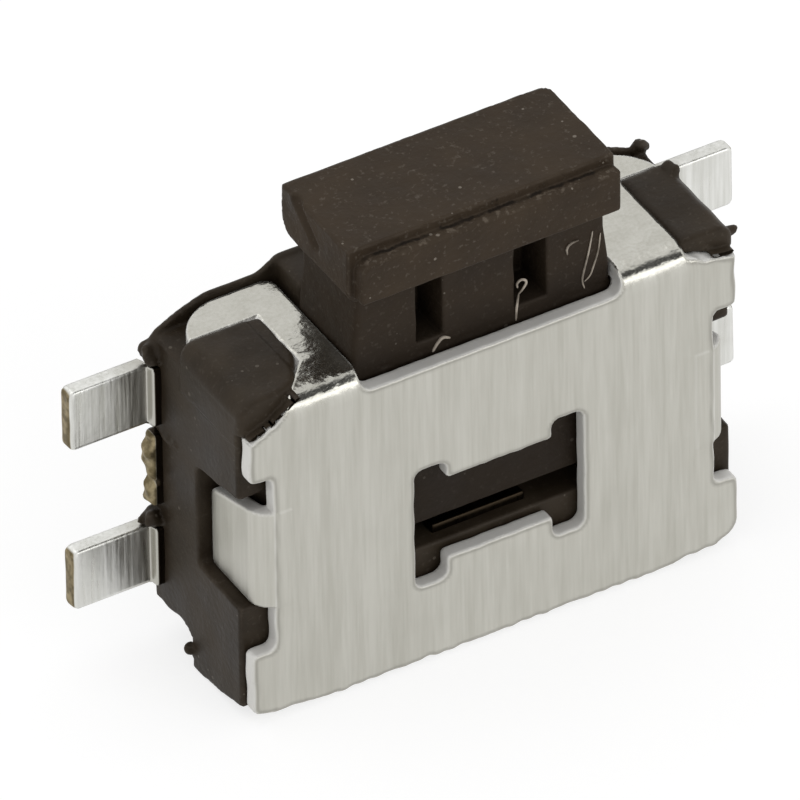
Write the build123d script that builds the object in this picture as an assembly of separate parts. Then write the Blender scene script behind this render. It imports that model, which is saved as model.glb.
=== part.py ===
from build123d import *
import os

# A side-push tactile switch, in millimetres, standing on its foot with the button up.
# Depth is measured from the cover's face towards the board, height from the foot.

# Overall
body_width = 4.70  # across the cover's corner ears
body_depth = 1.65  # cover face to solder plane
body_height = 3.50  # foot to the top of the rear ridge
fit = 0.02  # gap between pieces that lie against each other
slide = 0.03  # gap round the plunger in its guide

# Cover: one bent steel sheet
sheet = 0.15
cover_lift = 0.06  # lower edge above the foot
ridge_rise = 0.16  # rear ridge above the flange's upper face
bend_radius = 0.22  # outside, between face and flange
flange_gap = 0.015  # back edge to the rear wall
flange_width = 4.56
flange_corner = 0.50
flange_inner_corner = 0.10  # beside the button
window_width, window_slot_width = 1.64, 1.02
window_shift = 0.045  # punched a little off the middle, towards +X
window_low, window_high = 0.84, 2.08
slot_low, slot_high = 1.06, 1.90
low_ear, high_ear = 0.70, 0.75  # heights of the corner ears, from the lower edge and from the top
low_notch, high_notch = 0.445, 0.385  # heights of the relief notches beside the side tab
low_taper, high_taper = 0.01, 0.19  # how much the side tab narrows towards its end
tab_reach = 0.80  # depth of the side tab's end
tab_inset = 0.07  # tab face inside the ears' edge
notch_inset = 0.24  # relief notch depth from the ears' edge
bottom_corner = 0.17

# Plunger
head_overhang = 0.09  # head past the neck, each end
head_front, head_back = 0.03, 1.26  # depths
head_bevel = 0.08
lip_height = 0.35
head_height = 0.51
button_rise = 1.18  # head's top above the cover's flange
neck_width = 2.40
neck_back = 1.10
rib_slot_width, rib_slot_offset, rib_slot_depth = 0.27, 0.49, 0.22
rib_slot_lift = 0.10  # lower end above the shoulders
shoulder_height = 0.75
nub_width = 1.30
apron, apron_width = 0.06, 1.86  # skirt in front of the spring, behind the window
travel = 0.20

# Housing
side_proud = 0.03  # side face outside the ears
board_gap = 0.05  # back face to solder plane
block_width = 0.62  # corner block, across the width
block_back = 1.10
block_proud = 0.03  # above the flange
ridge_shoulder = 0.12  # ridge above the rear wall's shoulders
wall_thickness = 0.055  # rear wall behind the flange
foot_cut_front, foot_cut_height, foot_cut_corner = 0.99, 0.365, 0.13
foot_cut_width = 0.80  # from each side face
side_wall = 0.65  # side face to the plunger's guide
stop_ledge = 0.21  # width of the ledge that stops the shoulders
floor_height = 1.11
recess_room = 0.06  # past the end of the side tab
recess_depth = 0.33

# Contacts and spring
strip = 0.15  # thickness
lead_width = 0.62
lead_low = 0.59  # lower edge of the lower leads
lead_drop = 0.26  # upper leads' upper edge below the housing's top
lead_span = 6.44  # tip to tip
lead_step, lead_step_run = 0.08, 0.02  # joggle
lead_run_out = 0.072  # side face to the joggle
lead_corner = 0.05
band = 0.26  # strip height inside the wall
pad_setback = 0.02  # pads' front edge behind the leaf's
pad_proud = 0.03
outer_pad_width = 0.42
centre_pad_width = 0.90
tie_proud, tie_low, tie_high = 0.17, 1.45, 2.20
leaf, leaf_rise, leaf_width = 0.05, 0.25, 0.80
leaf_room = 0.10  # from the leaf's edges to the chamber's walls
leaf_gap = 0.01  # under the plunger's nub

# Sizes that follow
side_face = body_width / 2 + side_proud
cover_top = body_height - ridge_rise
housing_front = sheet + fit
housing_back = body_depth - board_gap
housing_top = cover_top - sheet - fit
flange_reach = housing_back - wall_thickness - flange_gap
ear_low_top, ear_high_foot = cover_lift + low_ear, cover_top - high_ear
tab_low, tab_high = ear_low_top + low_notch, ear_high_foot - high_notch
tab_end_low, tab_end_high = tab_low + low_taper, tab_high - high_taper
lead_front = body_depth - strip
lead_high = housing_top - lead_drop - lead_width
band_front = lead_front - lead_step
pad_top = floor_height + pad_proud
centre_pad_top = pad_top + leaf_rise - travel
head_top = cover_top + button_rise
neck_front = housing_front + fit
shoulder_top = cover_top - sheet - fit
shoulder_foot = shoulder_top - shoulder_height
nub_foot = pad_top + leaf_rise + leaf + leaf_gap
apron_foot = floor_height + travel + fit
ledge = shoulder_foot - travel
cut_width = neck_width + 4 * slide
guide_half = side_face - side_wall
chamber_half = guide_half - stop_ledge
chamber_back = housing_front + leaf_width + 2 * leaf_room
leaf_length = 2 * (chamber_half - leaf_room)
pad_front = housing_front + leaf_room + pad_setback
recess_back = tab_reach + recess_room
block_inner = side_face - block_width
to_centre = Pos(0, -body_depth / 2, 0)


def across(points, depth_a, depth_b, radius=0):
    """Prism of an outline of (width, height) points between two depths."""
    plane = Plane(origin=(0, depth_b, 0), x_dir=(1, 0, 0), z_dir=(0, -1, 0))
    outline = make_face(Polyline(*points, close=True))
    if radius:
        outline = fillet(outline.vertices(), radius)
    return extrude(plane * outline, depth_b - depth_a)


def along(points, x_a, x_b):
    """Prism of a section of (depth, height) points between two places along the width."""
    plane = Plane(origin=(x_a, 0, 0), x_dir=(0, 1, 0), z_dir=(1, 0, 0))
    return extrude(plane * make_face(Polyline(*points, close=True)), x_b - x_a)


def upward(points, low, high):
    """Prism of a plan of (width, depth) points between two heights."""
    return extrude(Plane.XY.offset(low) * make_face(Polyline(*points, close=True)), high - low)


def block(x_a, x_b, depth_a, depth_b, low, high):
    return Pos((x_a + x_b) / 2, (depth_a + depth_b) / 2, (low + high) / 2) * Box(
        x_b - x_a, depth_b - depth_a, high - low
    )


def pair(solid):
    """The solid and its mirror image on the other side of the width."""
    return solid + mirror(solid, Plane.YZ)


def window():
    """Dog-bone opening: a slot with a taller round-cornered lobe at each end."""
    slot = block(-window_slot_width / 2 - 0.05, window_slot_width / 2 + 0.05, -1, 1, slot_low, slot_high)
    lobe = across(
        [
            (window_slot_width / 2, window_low),
            (window_width / 2, window_low),
            (window_width / 2, window_high),
            (window_slot_width / 2, window_high),
        ],
        -1,
        1,
        0.08,
    )
    return Pos(window_shift, 0, 0) * (slot + pair(lobe))


def bent_face():
    """The face and flange in one L section with a round bend, the full width."""
    turn = cover_top - bend_radius
    inner = bend_radius - sheet
    plate = block(-body_width / 2, body_width / 2, 0, sheet, cover_lift, turn)
    flange = block(-flange_width / 2, flange_width / 2, bend_radius, flange_reach, cover_top - sheet, cover_top)
    ring = Plane.YZ * Pos(bend_radius, turn) * (Circle(bend_radius) - Circle(inner))
    quarter = Plane.YZ * Pos(bend_radius / 2, turn + bend_radius / 2) * Rectangle(bend_radius, bend_radius)
    bend = extrude(ring & quarter, body_width / 2, both=True)
    back_corners = flange.edges().filter_by(Axis.Z).group_by(Axis.Y)[-1]
    return plate + bend + fillet(back_corners, flange_corner)


def side_tab():
    """Tab on the +X side: it leaves the face between two notches and is bent back along the housing."""
    outer = body_width / 2 - tab_inset
    turn = sheet + 0.04
    plan = make_face(
        Polyline(
            (outer - 0.5, 0),
            (outer, 0),
            (outer, tab_reach),
            (outer - sheet, tab_reach),
            (outer - sheet, sheet),
            (outer - 0.5, sheet),
            close=True,
        )
    )
    plan = fillet(plan.vertices().sort_by(lambda v: v.X - 10 * v.Y)[-1], turn)
    tab = extrude(Plane.XY.offset(tab_low) * plan, tab_high - tab_low)
    bevels = along([(sheet, tab_high), (3, tab_high), (3, tab_end_high), (tab_reach, tab_end_high)], 0, 4)
    bevels += along([(sheet, tab_low), (3, tab_low), (3, tab_end_low), (tab_reach, tab_end_low)], 0, 4)
    return tab - bevels


def cover():
    half = body_width / 2
    shell = bent_face()
    inner = half - notch_inset
    between = block(inner, half + 1, -1, sheet + 0.01, ear_low_top, ear_high_foot)
    corner_foot = cover_top - bend_radius - 0.08
    corner = block(block_inner - fit, half + 1, -1, block_back + fit, corner_foot, cover_top + 1)
    lower_corner = across([(half, 0), (half, cover_lift + bottom_corner), (half - bottom_corner, 0)], -1, 1)
    shell -= pair(between) + pair(corner) + pair(lower_corner)
    shell += pair(side_tab())
    gate = across(
        [
            (-cut_width / 2, cover_top - bend_radius + fit),
            (cut_width / 2, cover_top - bend_radius + fit),
            (cut_width / 2, cover_top + 1),
            (-cut_width / 2, cover_top + 1),
        ],
        -1,
        body_depth + 1,
        0.12,
    )
    shell -= gate + window()
    beside_gate = shell.edges().filter_by(Axis.Z).filter_by_position(Axis.X, -neck_width, neck_width)
    return fillet(beside_gate.group_by(Axis.Y)[-1], flange_inner_corner)


def lead(low):
    """Lead on the +X side: leaves the wall as a flat strip and steps back to the solder plane."""
    root = side_face - 0.3
    start = side_face + lead_run_out
    tip = lead_span / 2
    plan = [
        (root, band_front),
        (start, band_front),
        (start + lead_step_run, lead_front),
        (tip, lead_front),
        (tip, body_depth),
        (start, body_depth),
        (start - lead_step_run, band_front + strip),
        (root, band_front + strip),
    ]
    bar = upward(plan, low, low + lead_width)
    return fillet(bar.edges().filter_by(Axis.Y).group_by(Axis.X)[-1], lead_corner)


def pad(x_a, x_b, top, far_height):
    """A leg in the wall with a tongue bent forward at its end, under the snap dome."""
    leg = block(x_a, x_b, band_front, band_front + strip, min(top - strip, far_height), max(top, far_height))
    return leg + block(x_a, x_b, pad_front, band_front + strip, top - strip, top)


def outer_contact():
    """Upper leads, tie stubs and the two pads that carry the snap dome's ends."""
    root = side_face - 0.3
    high = lead_high + lead_width
    bar = block(-root, root, band_front, band_front + strip, high - band, high)
    pad_end = leaf_length / 2 + 0.03
    legs = pad(pad_end - outer_pad_width, pad_end, pad_top, high - band)
    tie = block(side_face - 0.24, side_face + tie_proud, band_front, band_front + strip, tie_low, tie_high)
    tie += block(side_face - 0.24, side_face - 0.08, band_front, band_front + strip, tie_low, lead_high + 0.1)
    return bar + pair(lead(lead_high) + legs + tie)


def centre_contact():
    """Lower leads and the pad under the snap dome's middle."""
    root = side_face - 0.3
    bar = block(-root, root, band_front, band_front + strip, lead_low, lead_low + band)
    half = centre_pad_width / 2
    return bar + pair(lead(lead_low)) + pad(-half, half, centre_pad_top, lead_low)


def snap_dome():
    """Arched leaf whose ends stand on the outer contact's pads."""
    half = leaf_length / 2
    under = ThreePointArc((-half, pad_top), (0, pad_top + leaf_rise), (half, pad_top))
    over = ThreePointArc((half, pad_top + leaf), (0, pad_top + leaf_rise + leaf), (-half, pad_top + leaf))
    ends = [Line((half, pad_top), (half, pad_top + leaf)), Line((-half, pad_top + leaf), (-half, pad_top))]
    middle = (housing_front + chamber_back) / 2
    plane = Plane(origin=(0, middle, 0), x_dir=(1, 0, 0), z_dir=(0, -1, 0))
    return extrude(plane * make_face([under, over, *ends]), leaf_width / 2, both=True)


def plunger():
    """Head with an overhanging front lip, a ribbed neck, retaining shoulders, the pusher nub and its apron."""
    top = head_top
    lip_low = top - head_height
    section = [
        (neck_front, lip_low),
        (head_front, lip_low),
        (head_front, top - head_bevel),
        (head_front + head_bevel, top),
        (head_back, top),
        (head_back, lip_low + 0.15),
        (neck_back, lip_low - 0.05),
    ]
    head_half = neck_width / 2 + head_overhang
    head = along(section + [(neck_front, lip_low - 0.05)], -head_half, head_half)
    head = chamfer(head.edges().filter_by(Axis.Y).group_by(Axis.Z)[0], 0.04)
    neck = block(-neck_width / 2, neck_width / 2, neck_front, neck_back, shoulder_foot, lip_low)
    reach = guide_half - slide
    shoulders = block(-reach, reach, neck_front, neck_back, shoulder_foot, shoulder_top)
    shoulders = chamfer(shoulders.edges().filter_by(Axis.X).group_by(Axis.Z)[-1].group_by(Axis.Y)[0], 0.04)
    slot = block(
        rib_slot_offset - rib_slot_width / 2,
        rib_slot_offset + rib_slot_width / 2,
        0,
        neck_front + rib_slot_depth,
        shoulder_top + rib_slot_lift,
        lip_low - 0.06,
    )
    nub = block(-nub_width / 2, nub_width / 2, neck_front, neck_back - 0.1, nub_foot, shoulder_foot)
    skirt = block(-apron_width / 2, apron_width / 2, neck_front, neck_front + apron, apron_foot, shoulder_foot)
    return head + neck + shoulders + nub + skirt - pair(slot)


def rear_wall():
    """Wall behind the flange: round shoulders at the ends and a ridge behind the button."""
    high = body_height - ridge_shoulder
    half = neck_width / 2
    end = body_width / 2
    plane = Plane(origin=(0, housing_back, 0), x_dir=(1, 0, 0), z_dir=(0, -1, 0))
    outline = make_face(
        [
            Line((0, housing_top - 0.2), (end, housing_top - 0.2)),
            Line((end, housing_top - 0.2), (end, high - 0.23)),
            ThreePointArc((end, high - 0.23), (end - 0.24, high - 0.08), (end - 0.58, high)),
            Line((end - 0.58, high), (half + 0.2, high)),
            Line((half + 0.2, high), (half, body_height)),
            Line((half, body_height), (0, body_height)),
            Line((0, body_height), (0, housing_top - 0.2)),
        ]
    )
    wall = extrude(plane * outline, wall_thickness)
    ridge_front = neck_back + slide
    ridge = block(-half + fit, half - fit, ridge_front, housing_back, housing_top - 0.2, body_height)
    return pair(wall) + ridge


def tab_recess():
    """Pocket in the side face that takes the cover's tab."""
    outline = [
        (0, tab_low - 2 * fit),
        (recess_back, tab_end_low - fit),
        (recess_back, tab_end_high + 0.18),
        (recess_back - 0.04, tab_end_high + 0.22),
        (0, tab_high + 0.16),
    ]
    return along(outline, side_face - recess_depth, side_face + 1)


def housing(*embedded):
    """Moulding open at the front, closed by the cover, with the contacts moulded into its back wall."""
    shell = block(-side_face, side_face, housing_front, housing_back, 0, housing_top)
    shell = chamfer(shell.edges().filter_by(Axis.X).group_by(Axis.Z)[-1].group_by(Axis.Y)[0], 0.04)
    shell += pair(block(block_inner, side_face, housing_front, block_back, housing_top - 0.2, cover_top + block_proud))
    shell += rear_wall()
    shell -= block(-guide_half, guide_half, -1, neck_back + slide, ledge, cover_top + 1)
    shell -= block(-chamber_half, chamber_half, -1, chamber_back, floor_height, ledge + 0.01)
    heel = block(side_face - foot_cut_width, side_face + 1, foot_cut_front, body_depth + 1, -1, foot_cut_height)
    heel = fillet(heel.edges().filter_by(Axis.X).group_by(Axis.Z)[-1].group_by(Axis.Y)[0], foot_cut_corner)
    shell -= pair(heel) + pair(tab_recess())
    for piece in embedded:
        shell -= piece
    return shell


if __name__ == "__main__":
    os.makedirs("parts", exist_ok=True)
    outer, centre = outer_contact(), centre_contact()
    pieces = {
        "housing": housing(outer, centre),
        "cover": cover(),
        "plunger": plunger(),
        "snap_dome": snap_dome(),
        "outer_contact": outer,
        "centre_contact": centre,
    }
    for name, solid in pieces.items():
        export_step(to_centre * solid, f"parts/{name}.step")
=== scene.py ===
import math

import bpy
import numpy as np
from mathutils import Matrix, Vector


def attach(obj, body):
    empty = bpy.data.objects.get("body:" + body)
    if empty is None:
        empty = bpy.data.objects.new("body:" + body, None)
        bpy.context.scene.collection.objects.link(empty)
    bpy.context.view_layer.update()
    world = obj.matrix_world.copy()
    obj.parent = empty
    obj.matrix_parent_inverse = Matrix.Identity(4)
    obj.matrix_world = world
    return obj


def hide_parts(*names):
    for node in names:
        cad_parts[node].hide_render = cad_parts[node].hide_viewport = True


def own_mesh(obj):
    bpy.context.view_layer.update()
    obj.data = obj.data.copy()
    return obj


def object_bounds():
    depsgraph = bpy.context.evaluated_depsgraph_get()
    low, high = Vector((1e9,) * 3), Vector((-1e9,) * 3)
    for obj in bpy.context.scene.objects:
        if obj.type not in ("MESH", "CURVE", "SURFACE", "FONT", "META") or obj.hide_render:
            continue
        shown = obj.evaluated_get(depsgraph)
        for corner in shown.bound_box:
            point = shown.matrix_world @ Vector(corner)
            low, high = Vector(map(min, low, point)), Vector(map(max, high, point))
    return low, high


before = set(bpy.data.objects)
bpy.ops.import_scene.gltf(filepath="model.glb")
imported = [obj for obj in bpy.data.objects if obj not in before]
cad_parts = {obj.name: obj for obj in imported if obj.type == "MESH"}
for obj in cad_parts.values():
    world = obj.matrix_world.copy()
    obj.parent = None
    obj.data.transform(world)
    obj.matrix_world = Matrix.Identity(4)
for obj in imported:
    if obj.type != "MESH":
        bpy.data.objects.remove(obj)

cad_low, cad_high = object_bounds()

# ---------------------------------------------------------------------------------------------
# Studio: a long lens looks down on the switch from the front left, over a pale floor, under a
# white sky with one broad lamp in front and one above, as for a catalogue picture.
# ---------------------------------------------------------------------------------------------
MM = 0.001

AZIMUTH, ELEVATION, ROLL = math.radians(-29.9), math.radians(38.6), math.radians(0.92)
VIEW_WIDTH = 6.667 * MM
CAMERA_DISTANCE = 0.27
LOOK_AT = Vector((-0.618, -0.325, 2.46)) * MM

camera_data = bpy.data.cameras.new("camera")
camera_data.sensor_width = 36.0
camera_data.lens = camera_data.sensor_width * CAMERA_DISTANCE / VIEW_WIDTH
camera_data.clip_start, camera_data.clip_end = 0.01, 2.0
camera = bpy.data.objects.new("camera", camera_data)
back = Vector((math.sin(AZIMUTH) * math.cos(ELEVATION), -math.cos(AZIMUTH) * math.cos(ELEVATION),
               math.sin(ELEVATION)))
level = Vector((math.cos(AZIMUTH), math.sin(AZIMUTH), 0))
right = level * math.cos(ROLL) - back.cross(level) * math.sin(ROLL)
turned = Matrix((right, back.cross(right), back)).transposed().to_4x4()
camera.matrix_world = Matrix.Translation(LOOK_AT + back * CAMERA_DISTANCE) @ turned
bpy.context.scene.collection.objects.link(camera)
bpy.context.scene.camera = camera
bpy.context.scene.view_settings.view_transform = "Standard"


def lamp(name, place, width, height, watts, colour=(1, 1, 1)):
    """A rectangular lamp at a place in metres, turned to face the switch."""
    data = bpy.data.lights.new(name, "AREA")
    data.shape, data.size, data.size_y, data.energy, data.color = "RECTANGLE", width, height, watts, colour
    made = bpy.data.objects.new(name, data)
    aim = (LOOK_AT - Vector(place)).to_track_quat("-Z", "Y")
    made.matrix_world = Matrix.Translation(place) @ aim.to_matrix().to_4x4()
    bpy.context.scene.collection.objects.link(made)


lamp("front_lamp", (0.033, -0.073, 0.031), 0.050, 0.046, 0.0105)
lamp("top_lamp", (-0.015, 0.020, 0.080), 0.070, 0.060, 0.0085)


def node(tree, kind, inputs=None, **settings):
    """Adds a shader node, sets its options, and gives each named input a value or a link."""
    made = tree.nodes.new(kind)
    for name, value in settings.items():
        setattr(made, name, value)
    for key, value in (inputs or {}).items():
        if isinstance(value, bpy.types.NodeSocket):
            tree.links.new(value, made.inputs[key])
        else:
            made.inputs[key].default_value = value
    return made


SKY_LEVEL = 0.66
BLACK_CARD = (0.39, -0.624, 0.677)
world = bpy.data.worlds.new("sky")
world.use_nodes = True
sky = world.node_tree
sky.nodes.clear()
path = node(sky, "ShaderNodeLightPath")
towards = node(sky, "ShaderNodeTexCoord").outputs["Generated"]
card = node(sky, "ShaderNodeVectorMath", {0: towards, 1: BLACK_CARD},
            operation="DOT_PRODUCT").outputs["Value"]
card = node(sky, "ShaderNodeMapRange", {"Value": card, "From Min": 0.90, "From Max": 0.975, "To Min": 1.0,
                                        "To Max": 0.06}).outputs["Result"]
mirrored = node(sky, "ShaderNodeMath", {0: path.outputs["Is Glossy Ray"], 1: card},
                operation="MULTIPLY").outputs[0]
scattered = node(sky, "ShaderNodeMath", {0: 1.0, 1: path.outputs["Is Glossy Ray"]},
                 operation="SUBTRACT").outputs[0]
strength = node(sky, "ShaderNodeMath", {0: scattered, 1: SKY_LEVEL, 2: mirrored},
                operation="MULTIPLY_ADD").outputs[0]
for straight in ("Is Camera Ray", "Is Transmission Ray"):
    strength = node(sky, "ShaderNodeMath", {0: strength, 1: path.outputs[straight]},
                    operation="MAXIMUM").outputs[0]
white = node(sky, "ShaderNodeBackground", {"Color": (1, 1, 1, 1), "Strength": strength})
node(sky, "ShaderNodeOutputWorld", {"Surface": white.outputs[0]})
bpy.context.scene.world = world

FLOOR_HALF = 0.12
floor_mesh = bpy.data.meshes.new("floor")
floor_mesh.from_pydata([(-FLOOR_HALF, -FLOOR_HALF, 0), (FLOOR_HALF, -FLOOR_HALF, 0), (FLOOR_HALF, FLOOR_HALF,
                                                                                      0),
                        (-FLOOR_HALF, FLOOR_HALF, 0)], [], [(0, 1, 2, 3)])
floor = bpy.data.objects.new("floor", floor_mesh)
bpy.context.scene.collection.objects.link(floor)
floor_paper = bpy.data.materials.new("floor_paper")
floor_paper.use_nodes = True
paper = floor_paper.node_tree
paper.nodes.clear()
path = node(paper, "ShaderNodeLightPath")
plain = node(paper, "ShaderNodeBsdfDiffuse", {"Color": (0.92, 0.92, 0.91, 1)})
shaded = node(paper, "ShaderNodeBsdfDiffuse", {"Color": (0.36, 0.36, 0.36, 1)})
glow = node(paper, "ShaderNodeEmission", {"Color": (1, 1, 1, 1), "Strength": 0.74})
pale = node(paper, "ShaderNodeAddShader", {0: shaded.outputs[0], 1: glow.outputs[0]})
seen = path.outputs["Is Camera Ray"]
for ray in ("Is Glossy Ray", "Is Transmission Ray"):
    seen = node(paper, "ShaderNodeMath", {0: seen, 1: path.outputs[ray]}, operation="MAXIMUM").outputs[0]
sheet_mix = node(paper, "ShaderNodeMixShader", {0: seen, 1: plain.outputs[0], 2: pale.outputs[0]})
node(paper, "ShaderNodeOutputMaterial", {"Surface": sheet_mix.outputs[0]})
floor_mesh.materials.append(floor_paper)

# ---------------------------------------------------------------------------------------------
# Contacts: two strips of brass, stamped, tin plated and moulded into the housing's back wall.
# Each has two leads that step back to the board's plane; their sheared ends show bare brass.
# ---------------------------------------------------------------------------------------------
STRIP = 0.15
LEAD_TIP, LEAD_FRONT, LEAD_STEP = 3.22, 1.50, 0.08
LEAD_WIDTH, LOW_LEAD, HIGH_LEAD = 0.62, 0.59, 2.29
BAND = 0.26
SIDE_FACE = 2.38
STEP_START, STEP_RUN = SIDE_FACE + 0.072, 0.02
PAD_TOP, CENTRE_PAD_TOP, PAD_FRONT = 1.14, 1.19, 0.29
COVER_FACE = cad_low.y / MM


def brick(x, y, z, low, high, radius=0.0):
    """Signed distance to a box between two corners: the length of the part of (|p - centre| - half) above
    zero, plus the largest component where all are below zero, less the edge radius."""
    parts = [abs(p - (a + b) / 2) - (b - a) / 2 + radius for p, a, b in zip((x, y, z), low, high)]
    outside = np.sqrt(sum(np.maximum(part, 0) ** 2 for part in parts))
    return outside + np.minimum(np.maximum(np.maximum(parts[0], parts[1]), parts[2]), 0) - radius


def plate(u, v, low, high, radius=0.0):
    """Signed distance in a plane to a rectangle with round corners."""
    du = abs(u - (low[0] + high[0]) / 2) - (high[0] - low[0]) / 2 + radius
    dv = abs(v - (low[1] + high[1]) / 2) - (high[1] - low[1]) / 2 + radius
    return np.sqrt(np.maximum(du, 0) ** 2 + np.maximum(dv, 0) ** 2) + np.minimum(np.maximum(du, dv),
                                                                                 0) - radius


def joined(a, b, soft=0.0):
    """Union of two distances: the lower one, with the seam filled over the width soft."""
    if not soft:
        return np.minimum(a, b)
    blend = np.maximum(soft - abs(a - b), 0) / soft
    return np.minimum(a, b) - blend * blend * soft / 4


def trimmed(a, b, soft=0.0):
    """Intersection of two distances: the higher one, with the edge eased over the width soft."""
    return -joined(-a, -b, soft)


def ripple(x, y, z, size, seed):
    """Smooth irregular waves between about -1 and 1: the mean of six sines of p in fixed random directions,
    each with a wavelength near size and a phase of its own."""
    draw = np.random.default_rng(seed)
    total = 0
    for wave in range(6):
        heading = draw.normal(size=3)
        heading *= 2 * math.pi / size / np.linalg.norm(heading) * draw.uniform(0.6, 1.7)
        total = total + np.sin(heading[0] * x + heading[1] * y + heading[2] * z + draw.uniform(0,
                                                                                               2 * math.pi))
    return total / 3


def skin(name, field, low, high, step, marks=None):
    """Mesh of the surface where field(x, y, z) is zero, in millimetres, y from the cover's face. The field is
    worked out on a grid. Each cell that the surface crosses gets one vertex, at the mean of its edges'
    crossings, moved along the field's slope until it lies on the surface. Each crossed grid edge gets
    a quad."""
    axes = [np.arange(a - 1.5 * step, b + 2.5 * step, step) for a, b in zip(low, high)]
    grid = np.meshgrid(*axes, indexing="ij", sparse=True)
    value = np.array(np.broadcast_to(field(*grid), tuple(len(a) for a in axes)))
    cells = tuple(n - 1 for n in value.shape)
    total, count = np.zeros((3,) + cells), np.zeros(cells)
    crossings = []
    for axis in range(3):
        lower = tuple(slice(None, -1) if k == axis else slice(None) for k in range(3))
        upper = tuple(slice(1, None) if k == axis else slice(None) for k in range(3))
        here, there = value[lower], value[upper]
        crossed = (here < 0) != (there < 0)
        share = here / np.where(crossed, here - there, 1)
        crossings.append((crossed, here < 0))
        for a in (0, 1):
            for b in (0, 1):
                window = [slice(None)] * 3
                window[(axis + 1) % 3] = slice(a, a + cells[(axis + 1) % 3])
                window[(axis + 2) % 3] = slice(b, b + cells[(axis + 2) % 3])
                window = tuple(window)
                hit = crossed[window]
                count += hit
                for k in range(3):
                    place = np.broadcast_to(grid[k], value.shape)[lower][window]
                    total[k] += hit * (place + share[window] * step if k == axis else place)
    live = count > 0
    number = np.full(cells, -1)
    number[live] = np.arange(live.sum())
    point = total[:, live] / count[live]
    quads = []
    for axis, (crossed, rising) in enumerate(crossings):
        ring = []
        for a, b in ((0, 0), (1, 0), (1, 1), (0, 1)):
            window = [slice(None)] * 3
            window[(axis + 1) % 3] = slice(a, cells[(axis + 1) % 3] - 1 + a)
            window[(axis + 2) % 3] = slice(b, cells[(axis + 2) % 3] - 1 + b)
            ring.append(number[tuple(window)])
        inner = [slice(1, -1)] * 3
        inner[axis] = slice(None)
        hit, outward = crossed[tuple(inner)], rising[tuple(inner)]
        loop = np.stack([r[hit] for r in ring], axis=1)
        quads.append(np.where(outward[hit][:, None], loop, loop[:, ::-1]))

    def slope(p, reach=0.25):
        e = step * reach
        return np.stack([
            field(p[0] + e, p[1], p[2]) - field(p[0] - e, p[1], p[2]),
            field(p[0], p[1] + e, p[2]) - field(p[0], p[1] - e, p[2]),
            field(p[0], p[1], p[2] + e) - field(p[0], p[1], p[2] - e),
        ]) / (2 * e)

    start = point.copy()
    for _ in range(4):
        g = slope(point)
        point = point - g * field(*point) / np.maximum((g * g).sum(axis=0), 0.05)
        moved = point - start
        length = np.sqrt((moved * moved).sum(axis=0))
        point = start + moved * np.minimum(1, 0.8 * step / np.maximum(length, 1e-9))
    normal = slope(point)
    normal /= np.maximum(np.sqrt((normal * normal).sum(axis=0)), 1e-9)
    around = sum(field(*(point + step * side * np.eye(3)[k][:, None])) for k in range(3) for side in (-1, 1))
    edge = np.clip(around / step * 0.5, 0, 1)

    mesh = bpy.data.meshes.new(name)
    place = (point + np.array([[0], [COVER_FACE], [0]])) * MM
    mesh.from_pydata(place.T, [], np.concatenate(quads))
    mesh.shade_smooth()
    mesh.normals_split_custom_set_from_vertices(normal.T)
    mesh.attributes.new("edge", "FLOAT", "POINT").data.foreach_set("value", edge.astype(np.float32))
    for mark, rule in (marks or {}).items():
        mesh.attributes.new(mark, "FLOAT", "POINT").data.foreach_set("value", rule(*point).astype(np.float32))
    piece = bpy.data.objects.new(name, mesh)
    bpy.context.scene.collection.objects.link(piece)
    return piece


def leads_field(x, y, z, low):
    """Both leads at one height: a flat bar on each side that steps back outside the housing."""
    ax = abs(x)
    step_back = LEAD_STEP * np.clip((ax - STEP_START) / STEP_RUN, 0, 1)
    front = LEAD_FRONT - LEAD_STEP + step_back
    tip = plate(ax, z, (2.0, low), (LEAD_TIP - 0.004 * ripple(x, y, z, 0.2, 3), low + LEAD_WIDTH), 0.06)
    tip = np.maximum(tip, 2.0 - ax)
    bar = trimmed(tip, abs(y - front - STRIP / 2) - STRIP / 2, 0.035)
    return bar


def pads_field(x, y, z, inner, outer, top, foot):
    """A leg in the back wall and a tongue bent forward from its end, on both sides of the middle."""
    ax = abs(x)
    leg = brick(ax, y, z, (inner, LEAD_FRONT - LEAD_STEP, min(top - STRIP, foot)),
                (outer, LEAD_FRONT - LEAD_STEP + STRIP, max(top, foot)), 0.01)
    tongue = brick(ax, y, z, (inner, PAD_FRONT, top - STRIP), (outer, LEAD_FRONT - LEAD_STEP + STRIP, top),
                   0.02)
    return joined(leg, tongue, 0.03)


def outer_field(x, y, z):
    """Upper leads, their band, the sheared tie stubs and the pads under the dome's ends."""
    ax = abs(x)
    band_foot = HIGH_LEAD + LEAD_WIDTH - BAND
    band = brick(x, y, z, (-2.1, LEAD_FRONT - LEAD_STEP, band_foot),
                 (2.1, LEAD_FRONT - LEAD_STEP + STRIP, HIGH_LEAD + LEAD_WIDTH), 0.01)
    bulge = 0.055 * np.exp(-((z - 1.98) / 0.13) ** 2) + 0.04 * np.exp(-((z - 1.58) / 0.09) ** 2)
    torn = 2.47 + bulge + 0.02 * ripple(x * 0, y, z, 0.16, 8)
    tie = brick(ax, y, z, (2.14, LEAD_FRONT - LEAD_STEP, 1.45), (2.60, LEAD_FRONT - LEAD_STEP + STRIP, 2.20),
                0.03)
    tie = trimmed(tie, ax - torn, 0.05)
    leg = brick(ax, y, z, (2.14, LEAD_FRONT - LEAD_STEP, 1.45), (2.30, LEAD_FRONT - LEAD_STEP + STRIP, 2.50),
                0.01)
    whole = joined(joined(leads_field(x, y, z, HIGH_LEAD), band), joined(tie, leg))
    return joined(whole, pads_field(x, y, z, 1.03, 1.45, PAD_TOP, band_foot + 0.02))


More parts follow.
